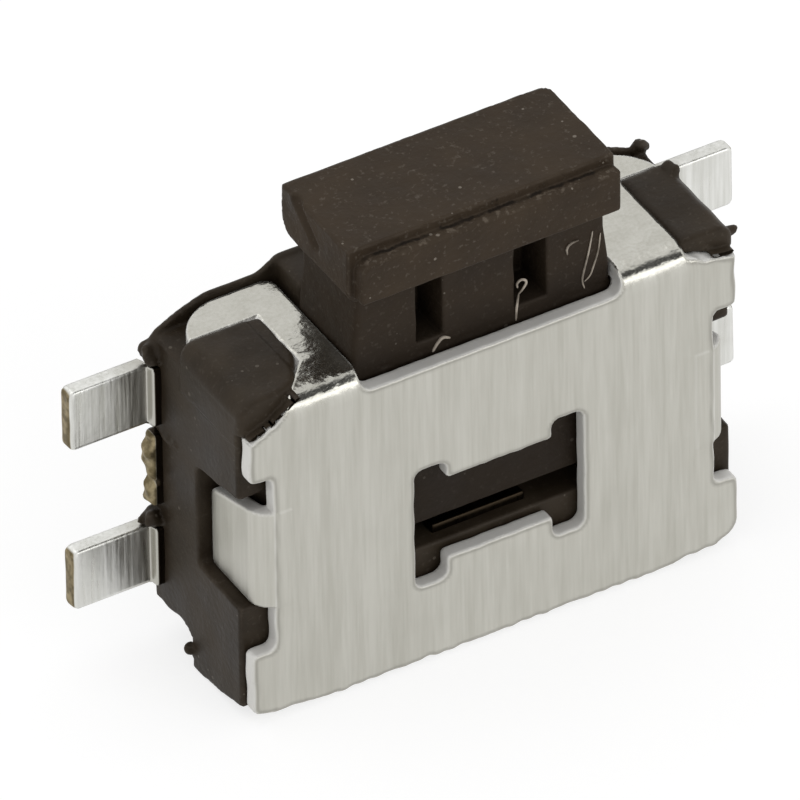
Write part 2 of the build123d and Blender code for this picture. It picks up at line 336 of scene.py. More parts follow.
def centre_field(x, y, z):
    """Lower leads, their band and the pad under the dome's middle."""
    band = brick(x, y, z, (-2.1, LEAD_FRONT - LEAD_STEP, LOW_LEAD),
                 (2.1, LEAD_FRONT - LEAD_STEP + STRIP, LOW_LEAD + BAND), 0.01)
    whole = joined(leads_field(x, y, z, LOW_LEAD), band)
    return joined(whole, pads_field(x, y, z, -0.45, 0.45, CENTRE_PAD_TOP, LOW_LEAD + 0.02))


def group(name, inputs, outputs):
    """An empty shader node group with its named number sockets, and its input and output nodes."""
    tree = bpy.data.node_groups.new(name, "ShaderNodeTree")
    for socket, value in inputs.items():
        tree.interface.new_socket(socket, in_out="INPUT", socket_type="NodeSocketFloat").default_value = value
    for socket in outputs:
        tree.interface.new_socket(socket, in_out="OUTPUT", socket_type="NodeSocketFloat")
    return tree, tree.nodes.new("NodeGroupInput"), tree.nodes.new("NodeGroupOutput")


def noise(tree, place, scale, detail=3.0, stretch=None):
    """Noise on object coordinates, its scale in waves per millimetre, squeezed along each axis by stretch."""
    if stretch:
        place = node(tree, "ShaderNodeMapping", {"Vector": place, "Scale": stretch}).outputs["Vector"]
    return node(tree, "ShaderNodeTexNoise", {"Vector": place, "Scale": scale / MM,
                                             "Detail": detail}).outputs["Fac"]


def ramp(tree, value, low, high, out_low=0.0, out_high=1.0):
    """The value's range low to high spread over out_low to out_high, and held there."""
    return node(tree, "ShaderNodeMapRange", {"Value": value, "From Min": low, "From Max": high,
                                             "To Min": out_low,
                                             "To Max": out_high}).outputs["Result"]


def blend(tree, share, a, b, mode="MIX"):
    """Colour a turned into colour b by a share."""
    made = node(tree, "ShaderNodeMix", data_type="RGBA", blend_type=mode)
    for key, value in ((0, share), (6, a), (7, b)):
        if isinstance(value, bpy.types.NodeSocket):
            tree.links.new(value, made.inputs[key])
        else:
            made.inputs[key].default_value = value
    return made.outputs[2]


def math_node(tree, operation, a, b=0.0):
    return node(tree, "ShaderNodeMath", {0: a, 1: b}, operation=operation).outputs[0]


def rolled_grain():
    """Group: the fine upright lines and faint blotches of rolled strip. Lines run along Z."""
    tree, given, result = group("rolled_grain", {"Across": 26.0, "Along": 1.1}, ("Lines", "Blotch", "Height"))
    place = node(tree, "ShaderNodeTexCoord").outputs["Object"]
    fine = noise(tree, place, 30.0, 4.0, (1.0, 1.0, 0.05))
    broad = noise(tree, place, 7.0, 3.0, (1.0, 1.0, 0.06))
    blotch = noise(tree, place, 1.6, 4.0)
    lines = math_node(tree, "ADD", math_node(tree, "MULTIPLY", fine, 0.55), math_node(tree, "MULTIPLY", broad,
                                                                                      0.45))
    tree.links.new(lines, result.inputs["Lines"])
    tree.links.new(blotch, result.inputs["Blotch"])
    pitted = noise(tree, place, 14.0, 2.0)
    height = math_node(tree, "ADD", math_node(tree, "MULTIPLY", lines, 0.8), math_node(tree, "MULTIPLY",
                                                                                       pitted, 0.2))
    tree.links.new(height, result.inputs["Height"])
    return tree


GRAIN = rolled_grain()


def tinned_brass():
    """Satin tin plate over brass: upright plating lines, grey blotches, bare brass on the sheared ends, painted
    shade darkening the leads towards the housing and a near-black painted shadow where they leave it.
    """
    made = bpy.data.materials.new("tinned_brass")
    made.use_nodes = True
    tree = made.node_tree
    shader = tree.nodes["Principled BSDF"]
    grain = node(tree, "ShaderNodeGroup", node_tree=GRAIN)
    place = node(tree, "ShaderNodeTexCoord").outputs["Object"]
    apart = node(tree, "ShaderNodeSeparateXYZ", {0: place})
    reach = math_node(tree, "ABSOLUTE", apart.outputs["X"])
    tin = blend(tree, ramp(tree, grain.outputs["Lines"], 0.38, 0.62), (0.62, 0.62, 0.58, 1), (0.80, 0.80,
                                                                                              0.77, 1))
    tin = blend(tree, ramp(tree, grain.outputs["Blotch"], 0.55, 0.78, 0.0, 0.35), tin, (0.45, 0.44, 0.40, 1))
    # painted shade: the tin darkens towards the housing, as if in its shade
    root_shade = ramp(tree, reach, 2.80 * MM, 2.50 * MM, 0.0, 0.55)
    tin = blend(tree, root_shade, tin, (0.30, 0.28, 0.23, 1))
    # painted shadow: a near-black strip where each lead leaves the housing's side
    neck = ramp(tree, reach, 2.449 * MM, 2.44 * MM)
    tin = blend(tree, neck, tin, (0.03, 0.022, 0.014, 1))
    normal = node(tree, "ShaderNodeNewGeometry").outputs["Normal"]
    sideways = math_node(tree, "ABSOLUTE", node(tree, "ShaderNodeSeparateXYZ", {0: normal}).outputs["X"])
    sheared = math_node(tree, "MULTIPLY", ramp(tree, sideways, 0.55, 0.8), ramp(tree, reach, 3.05 * MM,
                                                                                3.08 * MM))
    dull = ramp(tree, noise(tree, place, 12.0, 3.0), 0.4, 0.65)
    brass = blend(tree, dull, (0.15, 0.12, 0.065, 1), (0.34, 0.28, 0.17, 1))
    stub = math_node(tree, "MULTIPLY", ramp(tree, reach, 2.44 * MM, 2.45 * MM), ramp(tree, reach, 2.62 * MM,
                                                                                     2.61 * MM))
    level = math_node(tree, "SUBTRACT", apart.outputs["Z"], 1.82 * MM)
    stub = math_node(tree, "MULTIPLY", stub, ramp(tree, math_node(tree, "ABSOLUTE", level), 0.41 * MM,
                                                  0.40 * MM))
    bare = math_node(tree, "MAXIMUM", sheared, stub)
    tree.links.new(blend(tree, bare, tin, brass), shader.inputs["Base Color"])
    shader.inputs["Metallic"].default_value = 1.0
    rough = ramp(tree, grain.outputs["Lines"], 0.35, 0.65, 0.24, 0.42)
    tree.links.new(math_node(tree, "ADD", rough, math_node(tree, "MULTIPLY", bare, 0.2)),
                   shader.inputs["Roughness"])
    bump = node(tree, "ShaderNodeBump", {"Height": grain.outputs["Height"], "Distance": 0.012 * MM,
                                         "Strength": 0.5})
    tree.links.new(bump.outputs["Normal"], shader.inputs["Normal"])
    return made


TINNED_BRASS = tinned_brass()
for contact_name, contact_field, foot, top in (
    ("outer_contact", outer_field, 0.98, 2.90),
    ("centre_contact", centre_field, 0.61, 1.20),
):
    contact = skin(contact_name + "_strip", contact_field, (-3.24, 0.26, foot), (3.24, 1.66, top), 0.027)
    contact.data.materials.append(TINNED_BRASS)
    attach(contact, "body")
    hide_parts(contact_name)

# ---------------------------------------------------------------------------------------------
# Housing: one moulding in dark glass-filled plastic, moulded round the contacts. Its corner
# blocks are pressed over the cover's notches, and flash is left where the mould halves met.
# ---------------------------------------------------------------------------------------------
HOUSING_FRONT, HOUSING_BACK, HOUSING_TOP = 0.17, 1.60, 3.17
GUIDE_HALF, GUIDE_BACK, LEDGE = 1.73, 1.13, 2.22
CHAMBER_HALF, CHAMBER_BACK, CHAMBER_FLOOR = 1.52, 1.17, 1.11
BLOCK_BACK, BLOCK_TOP, BLOCK_FRONT = 1.12, 3.37, 0.10
WALL_FRONT = 1.545
FLASH = (
    # place, half sizes
    ((-2.42, 1.52, 3.02), (0.09, 0.09, 0.12)),
    ((-2.45, 1.50, 1.28), (0.10, 0.10, 0.07)),
    ((-2.40, 0.99, 0.20), (0.05, 0.06, 0.05)),
    ((2.33, 1.54, 3.24), (0.07, 0.06, 0.08)),
    ((2.33, 1.00, 3.36), (0.06, 0.07, 0.07)),
    ((2.41, 0.22, 3.20), (0.08, 0.05, 0.04)),
    ((2.43, 1.52, 1.25), (0.07, 0.08, 0.06)),
    ((-2.37, 1.33, 2.22), (0.05, 0.12, 0.04)),
)


def block_inner(x):
    """Inner edge of a corner block: the left block spread further inward when it was pressed over."""
    return np.where(x < 0, 1.60, 1.885)


def block_corner(x, y):
    """Distance outside the cut across the left block's inner front corner."""
    return np.where(x < 0, -0.74 * (abs(x) - 1.62) - 0.67 * (y - 0.42), -1)


def notch_floor(x):
    """Height of the cover's edge under a corner block: it climbs towards the button, more so on the left."""
    left = 3.03 + 0.27 * np.clip((2.33 + x) / 0.46, 0, 1) ** 1.3
    return np.where(x < 0, left, 3.12 + 0.11 * np.clip((2.27 - x) / 0.37, 0, 1))


def rear_top(ax):
    """Height of the rear wall: it falls in a round shoulder at each end and rises behind the button."""
    fall = np.clip((ax - 1.85) / 0.52, 0, 1)
    rise = np.clip((1.40 - ax) / 0.26, 0, 1)
    return 3.385 - 0.22 * fall ** 1.5 + 0.115 * rise * rise * (3 - 2 * rise)


def housing_field(x, y, z):
    """Box less its cavities, with the blocks, the rear wall and ridge, and the flash added."""
    ax = abs(x)
    body = brick(x, y, z, (-SIDE_FACE, HOUSING_FRONT, 0), (SIDE_FACE, HOUSING_BACK, HOUSING_TOP), 0.035)
    sag = 0.012 * ripple(x, y, z, 0.5, 21)
    post = plate(ax, y, (1.2, BLOCK_FRONT), (SIDE_FACE + 0.01, BLOCK_BACK), 0.06)
    post = trimmed(trimmed(post, block_inner(x) + sag - ax, 0.05), block_corner(x, y) + sag, 0.12)
    post = trimmed(trimmed(post, z - BLOCK_TOP - 0.3 * sag, 0.06), 2.9 - z)
    post = trimmed(post, (ax - SIDE_FACE + 0.06) * 0.75 + (z - BLOCK_TOP + 0.03) * 0.66, 0.03)
    rim = z - notch_floor(x)
    post = trimmed(post, -np.maximum(y - HOUSING_FRONT, rim - 0.015), 0.02)
    burr = plate(y, rim - 0.008 * ripple(x, y * 0, z * 0, 0.16, 23), (-0.022, 0.006), (0.2, 0.042), 0.016)
    burr = trimmed(burr, np.maximum(block_inner(x) + 0.24 - ax, ax - 2.35), 0.04)
    post = joined(post, burr, 0.02)
    wall = trimmed(brick(x, y, z, (-2.35, WALL_FRONT, 2.9), (2.35, HOUSING_BACK, 3.6), 0.015),
                   z - rear_top(ax), 0.03)
    ridge = brick(x, y, z, (-1.19, GUIDE_BACK, 2.9), (1.19, HOUSING_BACK, 3.49), 0.05)
    shape = joined(joined(body, post, 0.03), joined(wall, ridge, 0.05), 0.015)
    guide = brick(x, y, z, (-GUIDE_HALF, -1, LEDGE), (GUIDE_HALF, GUIDE_BACK, 5), 0.02)
    chamber = brick(x, y, z, (-CHAMBER_HALF, -1, CHAMBER_FLOOR), (CHAMBER_HALF, CHAMBER_BACK, LEDGE + 0.1),
                    0.02)
    inside = trimmed(joined(guide, chamber), -joined(post, 10 + 0 * x), 0.0)
    shape = trimmed(shape, -inside, 0.03)
    recess = np.maximum(1.165 + 0.035 * y - z, z - 2.365 + 0.158 * y)
    recess = trimmed(trimmed(recess, y - 0.86, 0.06), SIDE_FACE - 0.33 - ax, 0.03)
    shape = trimmed(shape, -recess, 0.03)
    heel = trimmed(0.99 - y, z - 0.365 - 0.015 * ripple(x, y, z, 0.4, 4), 0.2)
    shape = trimmed(shape, -trimmed(heel, SIDE_FACE - 0.8 - ax, 0.1), 0.03)
    chin = (0.80 - y) * 0.19 - z
    shape = trimmed(shape, -trimmed(-chin, 2.05 - ax, 0.05), 0.03)
    for centre, half in FLASH:
        rough = 1 + 0.25 * ripple(x, y, z, 0.12, 33)
        squash = np.sqrt(sum(((p - c) / h) ** 2 for p, c, h in zip((x, y, z), centre, half)))
        shape = joined(shape, (squash - rough) * min(half), 0.04)
    return shape + 0.003 * ripple(x, y, z, 0.45, 5)


def plastic_mottle():
    """Group: the skin of dark glass-filled plastic. Tone is a slow cloud, Specks are pale fibre ends and dust
    with some fainter pale patches, and Height is the fine orange-peel of the mould."""
    tree, given, result = group("plastic_mottle", {"Speck Size": 9.0, "Speck Amount": 0.5},
                                ("Tone", "Specks", "Height"))
    place = node(tree, "ShaderNodeTexCoord").outputs["Object"]
    cloud = noise(tree, place, 2.2, 5.0)
    cells = node(tree, "ShaderNodeTexVoronoi", {"Vector": place, "Scale": 7.0 / MM, "Randomness": 1.0})
    scatter = noise(tree, place, 5.0, 1.0)
    limit = math_node(tree, "MULTIPLY", ramp(tree, scatter, 0.45, 0.75), 0.19)
    dots = math_node(tree, "LESS_THAN", cells.outputs["Distance"], limit)
    faint = ramp(tree, noise(tree, place, 24.0, 2.0), 0.60, 0.78)
    specks = math_node(tree, "MULTIPLY", math_node(tree, "MAXIMUM", dots, math_node(tree, "MULTIPLY", faint,
                                                                                    0.35)),
                       given.outputs["Speck Amount"])
    tree.links.new(cloud, result.inputs["Tone"])
    tree.links.new(specks, result.inputs["Specks"])
    peel = noise(tree, place, 16.0, 4.0)
    tree.links.new(math_node(tree, "ADD", peel, math_node(tree, "MULTIPLY", specks, 0.3)),
                   result.inputs["Height"])
    return tree


MOTTLE = plastic_mottle()


def moulded_plastic(name, dark, light, speck, rough_low, rough_high, peel):
    """Dark plastic: tone and specks from the mottle group, and paler edges, partly rubbed wear and partly a
    painted edge highlight.
    """
    made = bpy.data.materials.new(name)
    made.use_nodes = True
    tree = made.node_tree
    shader = tree.nodes["Principled BSDF"]
    mottle = node(tree, "ShaderNodeGroup", node_tree=MOTTLE)
    mottle.inputs["Speck Amount"].default_value = speck
    edge = node(tree, "ShaderNodeAttribute", attribute_name="edge").outputs["Fac"]
    tone = blend(tree, ramp(tree, mottle.outputs["Tone"], 0.35, 0.68), dark, light)
    # paler edges: partly rubbed wear, partly a painted highlight along the edges
    rubbed_and_highlit_edge = math_node(tree, "MULTIPLY", ramp(tree, edge, 0.30, 0.9), ramp(tree, mottle.outputs["Height"], 0.4,
                                                                         0.8, 0.1, 0.7))
    tone = blend(tree, math_node(tree, "MULTIPLY", rubbed_and_highlit_edge, 0.7), tone, (0.14, 0.115, 0.09, 1))
    tone = blend(tree, mottle.outputs["Specks"], tone, (0.34, 0.30, 0.25, 1))
    tree.links.new(tone, shader.inputs["Base Color"])
    tree.links.new(ramp(tree, mottle.outputs["Tone"], 0.3, 0.7, rough_low, rough_high),
                   shader.inputs["Roughness"])
    bump = node(tree, "ShaderNodeBump", {"Height": mottle.outputs["Height"], "Distance": peel * MM,
                                         "Strength": 0.6})
    tree.links.new(bump.outputs["Normal"], shader.inputs["Normal"])
    shader.inputs["Specular IOR Level"].default_value = 0.12
    return made


housing = skin("housing_moulding", housing_field, (-2.58, 0.05, -0.02), (2.58, 1.62, 3.55), 0.031)
housing.data.materials.append(
    moulded_plastic("housing_plastic", (0.024, 0.017, 0.0105, 1), (0.045, 0.034, 0.023, 1), 0.2, 0.4, 0.55,
                    0.008)
)
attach(housing, "body")
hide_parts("housing")

# ---------------------------------------------------------------------------------------------
# Snap dome: a leaf of hard stainless strip, arched so that it snaps down on the middle pad. It
# stands on its two ends and also returns the button.
# ---------------------------------------------------------------------------------------------
LEAF, LEAF_RISE, LEAF_LENGTH, LEAF_WIDTH = 0.05, 0.25, 2.84, 0.80
LEAF_MIDDLE = HOUSING_FRONT + 0.10 + LEAF_WIDTH / 2


def snap_dome():
    """Closed arched sheet: u runs end to end and v round the section, a flat loop with half-round edges.
    Height is rise * (1 - u^2) above the pads, and the loop's half thickness is leaf / 2."""
    u = np.linspace(-1, 1, 97)[:, None]
    v = np.linspace(0, 2 * math.pi, 40, endpoint=False)[None, :]
    across = np.clip(np.cos(v) * 1.6, -1, 1) * (LEAF_WIDTH / 2 - LEAF / 2) + np.cos(v) ** 9 * LEAF / 2
    up = np.clip(np.sin(v) * 1.8, -1, 1) * LEAF / 2
    x = u * LEAF_LENGTH / 2 + 0 * v
    y = LEAF_MIDDLE + across + 0 * u + COVER_FACE
    z = PAD_TOP + LEAF / 2 + LEAF_RISE * (1 - u * u) + up
    rows, columns = x.shape[0], v.shape[1]
    index = np.arange(rows * columns).reshape(rows, columns)
    a, b = index[:-1], index[1:]
    sides = np.stack([a, b, np.roll(b, -1, 1), np.roll(a, -1, 1)], axis=-1).reshape(-1, 4)
    caps = [list(index[0]), list(index[-1][::-1])]
    mesh = bpy.data.meshes.new("snap_dome_leaf")
    mesh.from_pydata((np.stack([x, y, z], axis=-1).reshape(-1, 3) * MM), [], [*sides.tolist(), *caps])
    mesh.shade_smooth()
    made = bpy.data.objects.new("snap_dome_leaf", mesh)
    bpy.context.scene.collection.objects.link(made)
    return made


def spring_steel():
    """Bright hard strip with faint rolling lines."""
    made = bpy.data.materials.new("spring_steel")
    made.use_nodes = True
    tree = made.node_tree
    shader = tree.nodes["Principled BSDF"]
    grain = node(tree, "ShaderNodeGroup", node_tree=GRAIN)
    tone = blend(tree, ramp(tree, grain.outputs["Lines"], 0.4, 0.6), (0.52, 0.51, 0.48, 1), (0.66, 0.65, 0.62,
                                                                                             1))
    tree.links.new(tone, shader.inputs["Base Color"])
    tree.links.new(ramp(tree, grain.outputs["Blotch"], 0.3, 0.7, 0.18, 0.32), shader.inputs["Roughness"])
    shader.inputs["Metallic"].default_value = 1.0
    return made


dome = snap_dome()
dome.data.materials.append(spring_steel())
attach(dome, "body")
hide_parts("snap_dome")
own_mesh(dome)

# ---------------------------------------------------------------------------------------------
# Plunger: one matt moulding. The head overhangs the neck with a lip in front; a ragged parting
# line runs along it. Two slots leave three ribs on the neck; shoulders and a nub are inside.
# ---------------------------------------------------------------------------------------------
HEAD_HALF, HEAD_TOP, HEAD_BACK, HEAD_FOOT = 1.29, 4.52, 1.265, 4.01
NECK_HALF, NECK_FRONT, NECK_BACK = 1.20, 0.19, 1.10
SHOULDER_HALF, SHOULDER_FOOT, SHOULDER_TOP = 1.70, 2.445, 3.16
NUB_HALF, NUB_FOOT = 0.65, 1.45
RIB_SLOTS = ((-0.50, 0.125), (0.475, 0.155))
APRON_HALF, APRON_FOOT = 0.92, 1.36
PARTING = 0.125


def plunger_field(x, y, z):
    """Head, lip, neck, shoulders, nub and apron as boxes with eased edges, less the slots and hollows."""
    ax = abs(x)
    head = brick(x, y, z, (-HEAD_HALF, NECK_FRONT - 0.02, HEAD_FOOT - 0.05), (HEAD_HALF, HEAD_BACK, HEAD_TOP),
                 0.02)
    head = trimmed(head, (HEAD_FOOT + 0.13 - z) * 0.55 + (y - HEAD_BACK) * 0.83, 0.03)
    head = trimmed(head, (ax - HEAD_HALF + 0.01) * 0.80 + (HEAD_FOOT + 0.02 - z) * 0.60, 0.03)
    corner = np.sqrt(np.maximum(x - 1.17, 0) ** 2 + np.maximum(y - 1.145, 0) ** 2) - 0.12
    head = trimmed(head, corner, 0.02)
    run = np.clip(((y - 1.02) * -0.32 + (z - 4.50) * -0.26) / 0.17, 0, 1)
    from_end = x + HEAD_HALF + 0.01
    groove = np.sqrt((y - 1.02 + 0.32 * run) ** 2 + (z - 4.50 + 0.26 * run) ** 2 + from_end ** 2)
    head = trimmed(head, 0.055 - groove, 0.03)
    wave = 0.014 * ripple(x, y * 0, z * 0, 0.4, 12) + 0.006 * ripple(x, y * 0, z * 0, 0.12, 14)
    lip = brick(x, y, z, (-1.235, 0.03, HEAD_FOOT), (1.27, 0.5, HEAD_TOP), 0.03)
    lip = trimmed(lip, (PARTING - y + wave) * 0.69 + (z - HEAD_TOP) * 0.72, 0.02)
    shoulder_corner = np.sqrt(np.maximum(-1.095 - x, 0) ** 2 + np.maximum(z - 4.29, 0) ** 2) - 0.14
    lip = trimmed(lip, shoulder_corner, 0.03)
    neck_half = NECK_HALF + 0.045 * np.clip((3.75 - z) / 0.4, 0, 1)
    neck = trimmed(brick(x, y, z, (-2, NECK_FRONT, 3.0), (2, NECK_BACK, 4.2), 0.0), ax - neck_half, 0.06)
    shoulder = brick(x, y, z, (-SHOULDER_HALF, NECK_FRONT, SHOULDER_FOOT), (SHOULDER_HALF, NECK_BACK,
                                                                            SHOULDER_TOP), 0.04)
    nub = brick(x, y, z, (-NUB_HALF, NECK_FRONT, NUB_FOOT), (NUB_HALF, NECK_BACK - 0.1, SHOULDER_FOOT + 0.1),
                0.03)
    apron = brick(x, y, z, (-APRON_HALF, NECK_FRONT, APRON_FOOT), (APRON_HALF, NECK_FRONT + 0.06,
                                                                   SHOULDER_FOOT + 0.1), 0.015)
    shape = joined(joined(head, lip, 0.01), joined(neck, joined(shoulder, joined(nub, apron, 0.02)), 0.03),
                   0.02)
    for middle, half in RIB_SLOTS:
        slot = brick(x, y, z, (middle - half, -1, 3.27), (middle + half, NECK_FRONT + 0.42, HEAD_FOOT + 0.0),
                     0.02)
        shape = trimmed(shape, -slot, 0.02)
    crack = np.sqrt((y - PARTING - wave) ** 2 + ((z - HEAD_TOP) * 0.8) ** 2)
    depth = 0.020 + 0.014 * ripple(x, y * 0, z * 0, 0.20, 15)
    shape = trimmed(shape, np.maximum(depth, 0.006) - crack, 0.012)
    chips = 0.006 * ripple(x, y, z, 0.10, 16) * np.exp(-((y - 0.08) / 0.07) ** 2 - ((z - 4.47) / 0.06) ** 2)
    return shape + chips + 0.0022 * ripple(x, y, z, 0.3, 17)


def plunger_plastic():
    """The housing's kind of plastic in a warmer brown, with painted shade darkening the neck under the head's
    lip and further down, a broken dark line where the mould halves met, pale crumbs along the band in front of
    it, and a faint painted light on the faces that look up."""
    made = moulded_plastic("plunger_plastic", (0.034, 0.023, 0.014, 1), (0.051, 0.036, 0.023, 1), 0.55, 0.5,
                           0.68, 0.014)
    tree = made.node_tree
    shader = tree.nodes["Principled BSDF"]
    tone = shader.inputs["Base Color"].links[0].from_socket
    place = node(tree, "ShaderNodeTexCoord").outputs["Object"]
    apart = node(tree, "ShaderNodeSeparateXYZ", {0: place})
    normal = node(tree, "ShaderNodeSeparateXYZ", {0: node(tree, "ShaderNodeNewGeometry").outputs["Normal"]})
    # painted shade: the neck darkens under the head's lip, and more so further down
    below = ramp(tree, apart.outputs["Z"], 4.05 * MM, 3.95 * MM, 0.0, 0.42)
    painted_shade_down_neck = ramp(tree, apart.outputs["Z"], 3.55 * MM, 3.20 * MM, 0.0, 0.35)
    tone = blend(tree, math_node(tree, "ADD", below, painted_shade_down_neck), tone, (0.012, 0.008, 0.005, 1))
    wander = noise(tree, place, 4.0, 4.0, (1.0, 0.0, 0.0))
    wander = math_node(tree, "MULTIPLY", math_node(tree, "SUBTRACT", wander, 0.5), 0.09 * MM)
    ragged = noise(tree, place, 22.0, 3.0)
    ragged = math_node(tree, "MULTIPLY", math_node(tree, "SUBTRACT", ragged, 0.5), 0.045 * MM)
    front = math_node(tree, "SUBTRACT", apart.outputs["Y"], (COVER_FACE + PARTING + 0.012) * MM)
    front = math_node(tree, "ADD", front, math_node(tree, "ADD", wander, ragged))
    upper = ramp(tree, apart.outputs["Z"], 4.40 * MM, 4.42 * MM)
    dashes = ramp(tree, noise(tree, place, 5.5, 2.0, (1.0, 0.3, 0.3)), 0.40, 0.50, 0.25, 1.0)
    line = ramp(tree, math_node(tree, "ABSOLUTE", front), 0.026 * MM, 0.010 * MM)
    line = math_node(tree, "MULTIPLY", math_node(tree, "MULTIPLY", line, dashes), upper)
    crumbs = ramp(tree, noise(tree, place, 17.0, 3.0), 0.54, 0.66, 0.0, 0.6)
    band = math_node(tree, "MULTIPLY", ramp(tree, front, -0.012 * MM, -0.03 * MM), upper)
    tone = blend(tree, math_node(tree, "MULTIPLY", band, crumbs), tone, (0.16, 0.13, 0.10, 1))
    tone = blend(tree, line, tone, (0.008, 0.005, 0.003, 1))
    # painted light: faces that look up are made a little paler
    painted_top_light = ramp(tree, normal.outputs["Z"], 0.2, 0.6)
    tone = blend(tree, math_node(tree, "MULTIPLY", painted_top_light, 0.08), tone, (0.10, 0.08, 0.06, 1))
    tree.links.new(tone, shader.inputs["Base Color"])
    return made


plunger = skin("plunger_moulding", plunger_field, (-1.72, 0.0, 1.30), (1.72, 1.28, 4.54), 0.0245)
plunger.data.materials.append(plunger_plastic())
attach(plunger, "button")
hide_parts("plunger")

# ---------------------------------------------------------------------------------------------
# Lint: a few pale plastic hairs torn off in moulding, which cling to the front of the neck.
# ---------------------------------------------------------------------------------------------
HAIRS = (
    # thickness, then places on the neck's front as (width, height)
    (0.009, ((1.075, 3.77), (1.035, 3.56), (0.985, 3.38), (0.965, 3.29), (0.99, 3.20))),
    (0.008, ((1.15, 3.72), (1.13, 3.54), (1.08, 3.40), (1.05, 3.31), (0.99, 3.27))),
    (0.011, ((0.83, 3.62), (0.82, 3.69), (0.865, 3.73), (0.94, 3.73))),
    (0.012, ((0.345, 3.47), (0.335, 3.52), (0.39, 3.55), (0.44, 3.50), (0.40, 3.44), (0.355, 3.40))),
    (0.011, ((0.355, 3.40), (0.335, 3.28), (0.325, 3.13))),
    (0.015, ((-0.48, 3.13), (-0.43, 3.21), (-0.38, 3.25), (-0.31, 3.21))),
)


def hairs():
    """Round tubes on smooth paths: each round of corner cutting puts two points on every run, a quarter in from
    its ends, and the tube's radius swells in the middle as the square root of the sine of its length."""
    points, faces = [], []
    for thick, route in HAIRS:
        line = np.array(route)
        for _ in range(3):
            cut = np.stack([line[:-1] * 0.75 + line[1:] * 0.25, line[:-1] * 0.25 + line[1:] * 0.75], axis=1)
            line = np.concatenate([line[:1], cut.reshape(-1, 2), line[-1:]])
        ahead = np.gradient(line, axis=0)
        ahead /= np.linalg.norm(ahead, axis=1)[:, None]
        turn = np.linspace(0, 2 * math.pi, 10, endpoint=False)
        swell = thick * np.sqrt(np.sin(np.linspace(0.15, math.pi - 0.15, len(line))))[:, None]
        x = line[:, :1] - ahead[:, 1:] * swell * np.cos(turn)
        z = line[:, 1:] + ahead[:, :1] * swell * np.cos(turn)
        y = NECK_FRONT - 0.006 + COVER_FACE + swell * np.sin(turn)
        index = sum(len(p) for p in points) + np.arange(x.size).reshape(x.shape)
        a, b = index[:-1], index[1:]
        faces += np.stack([a, np.roll(a, -1, 1), np.roll(b, -1, 1), b], axis=-1).reshape(-1, 4).tolist()
        faces += [index[0][::-1].tolist(), index[-1].tolist()]
        points.append(np.stack([x, y, z], axis=-1).reshape(-1, 3) * MM)
    mesh = bpy.data.meshes.new("lint")
    mesh.from_pydata(np.concatenate(points), [], faces)
    mesh.shade_smooth()
    made = bpy.data.objects.new("lint", mesh)
    bpy.context.scene.collection.objects.link(made)
    return made


def pale_hair():
    """Stress-whitened plastic, paler in patches."""
    made = bpy.data.materials.new("pale_hair")
    made.use_nodes = True
    tree = made.node_tree
    shader = tree.nodes["Principled BSDF"]
    place = node(tree, "ShaderNodeTexCoord").outputs["Object"]
    fade = ramp(tree, noise(tree, place, 6.0, 2.0), 0.35, 0.65)
    tree.links.new(blend(tree, fade, (0.12, 0.095, 0.07, 1), (0.46, 0.40, 0.33, 1)),
                   shader.inputs["Base Color"])
    shader.inputs["Roughness"].default_value = 0.55
    return made


lint = hairs()
lint.data.materials.append(pale_hair())
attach(lint, "button")

# ---------------------------------------------------------------------------------------------
# Cover: stainless strip stamped and bent in one piece. The face has a dog-bone window, the
# flange hooks over the top either side of the button, and a tab is bent back on each side.
# ---------------------------------------------------------------------------------------------
SHEET, COVER_TOP, COVER_FOOT = 0.15, 3.34, 0.06
BEND, TAB_BEND = 0.22, 0.20
WINDOW_SHIFT = 0.045
EAR_HALF, TAB_FACE, NOTCH_END = 2.35, 2.28, 2.13
FLANGE_HALF, FLANGE_BACK, FLANGE_CORNER = 2.28, 1.53, 0.50
GATE_HALF, GATE_FOOT = 1.26, 3.14


def turned_sheet(u, v, radius):
    """Distance to a sheet bent square: its outer face is the corner u > 0, v < 0 with the outer radius."""
    du, dv = radius - u, radius + v
    corner = np.sqrt(np.maximum(du, 0) ** 2 + np.maximum(dv, 0) ** 2) + np.minimum(np.maximum(du, dv),
                                                                                   0) - radius
    return abs(corner + SHEET / 2) - SHEET / 2


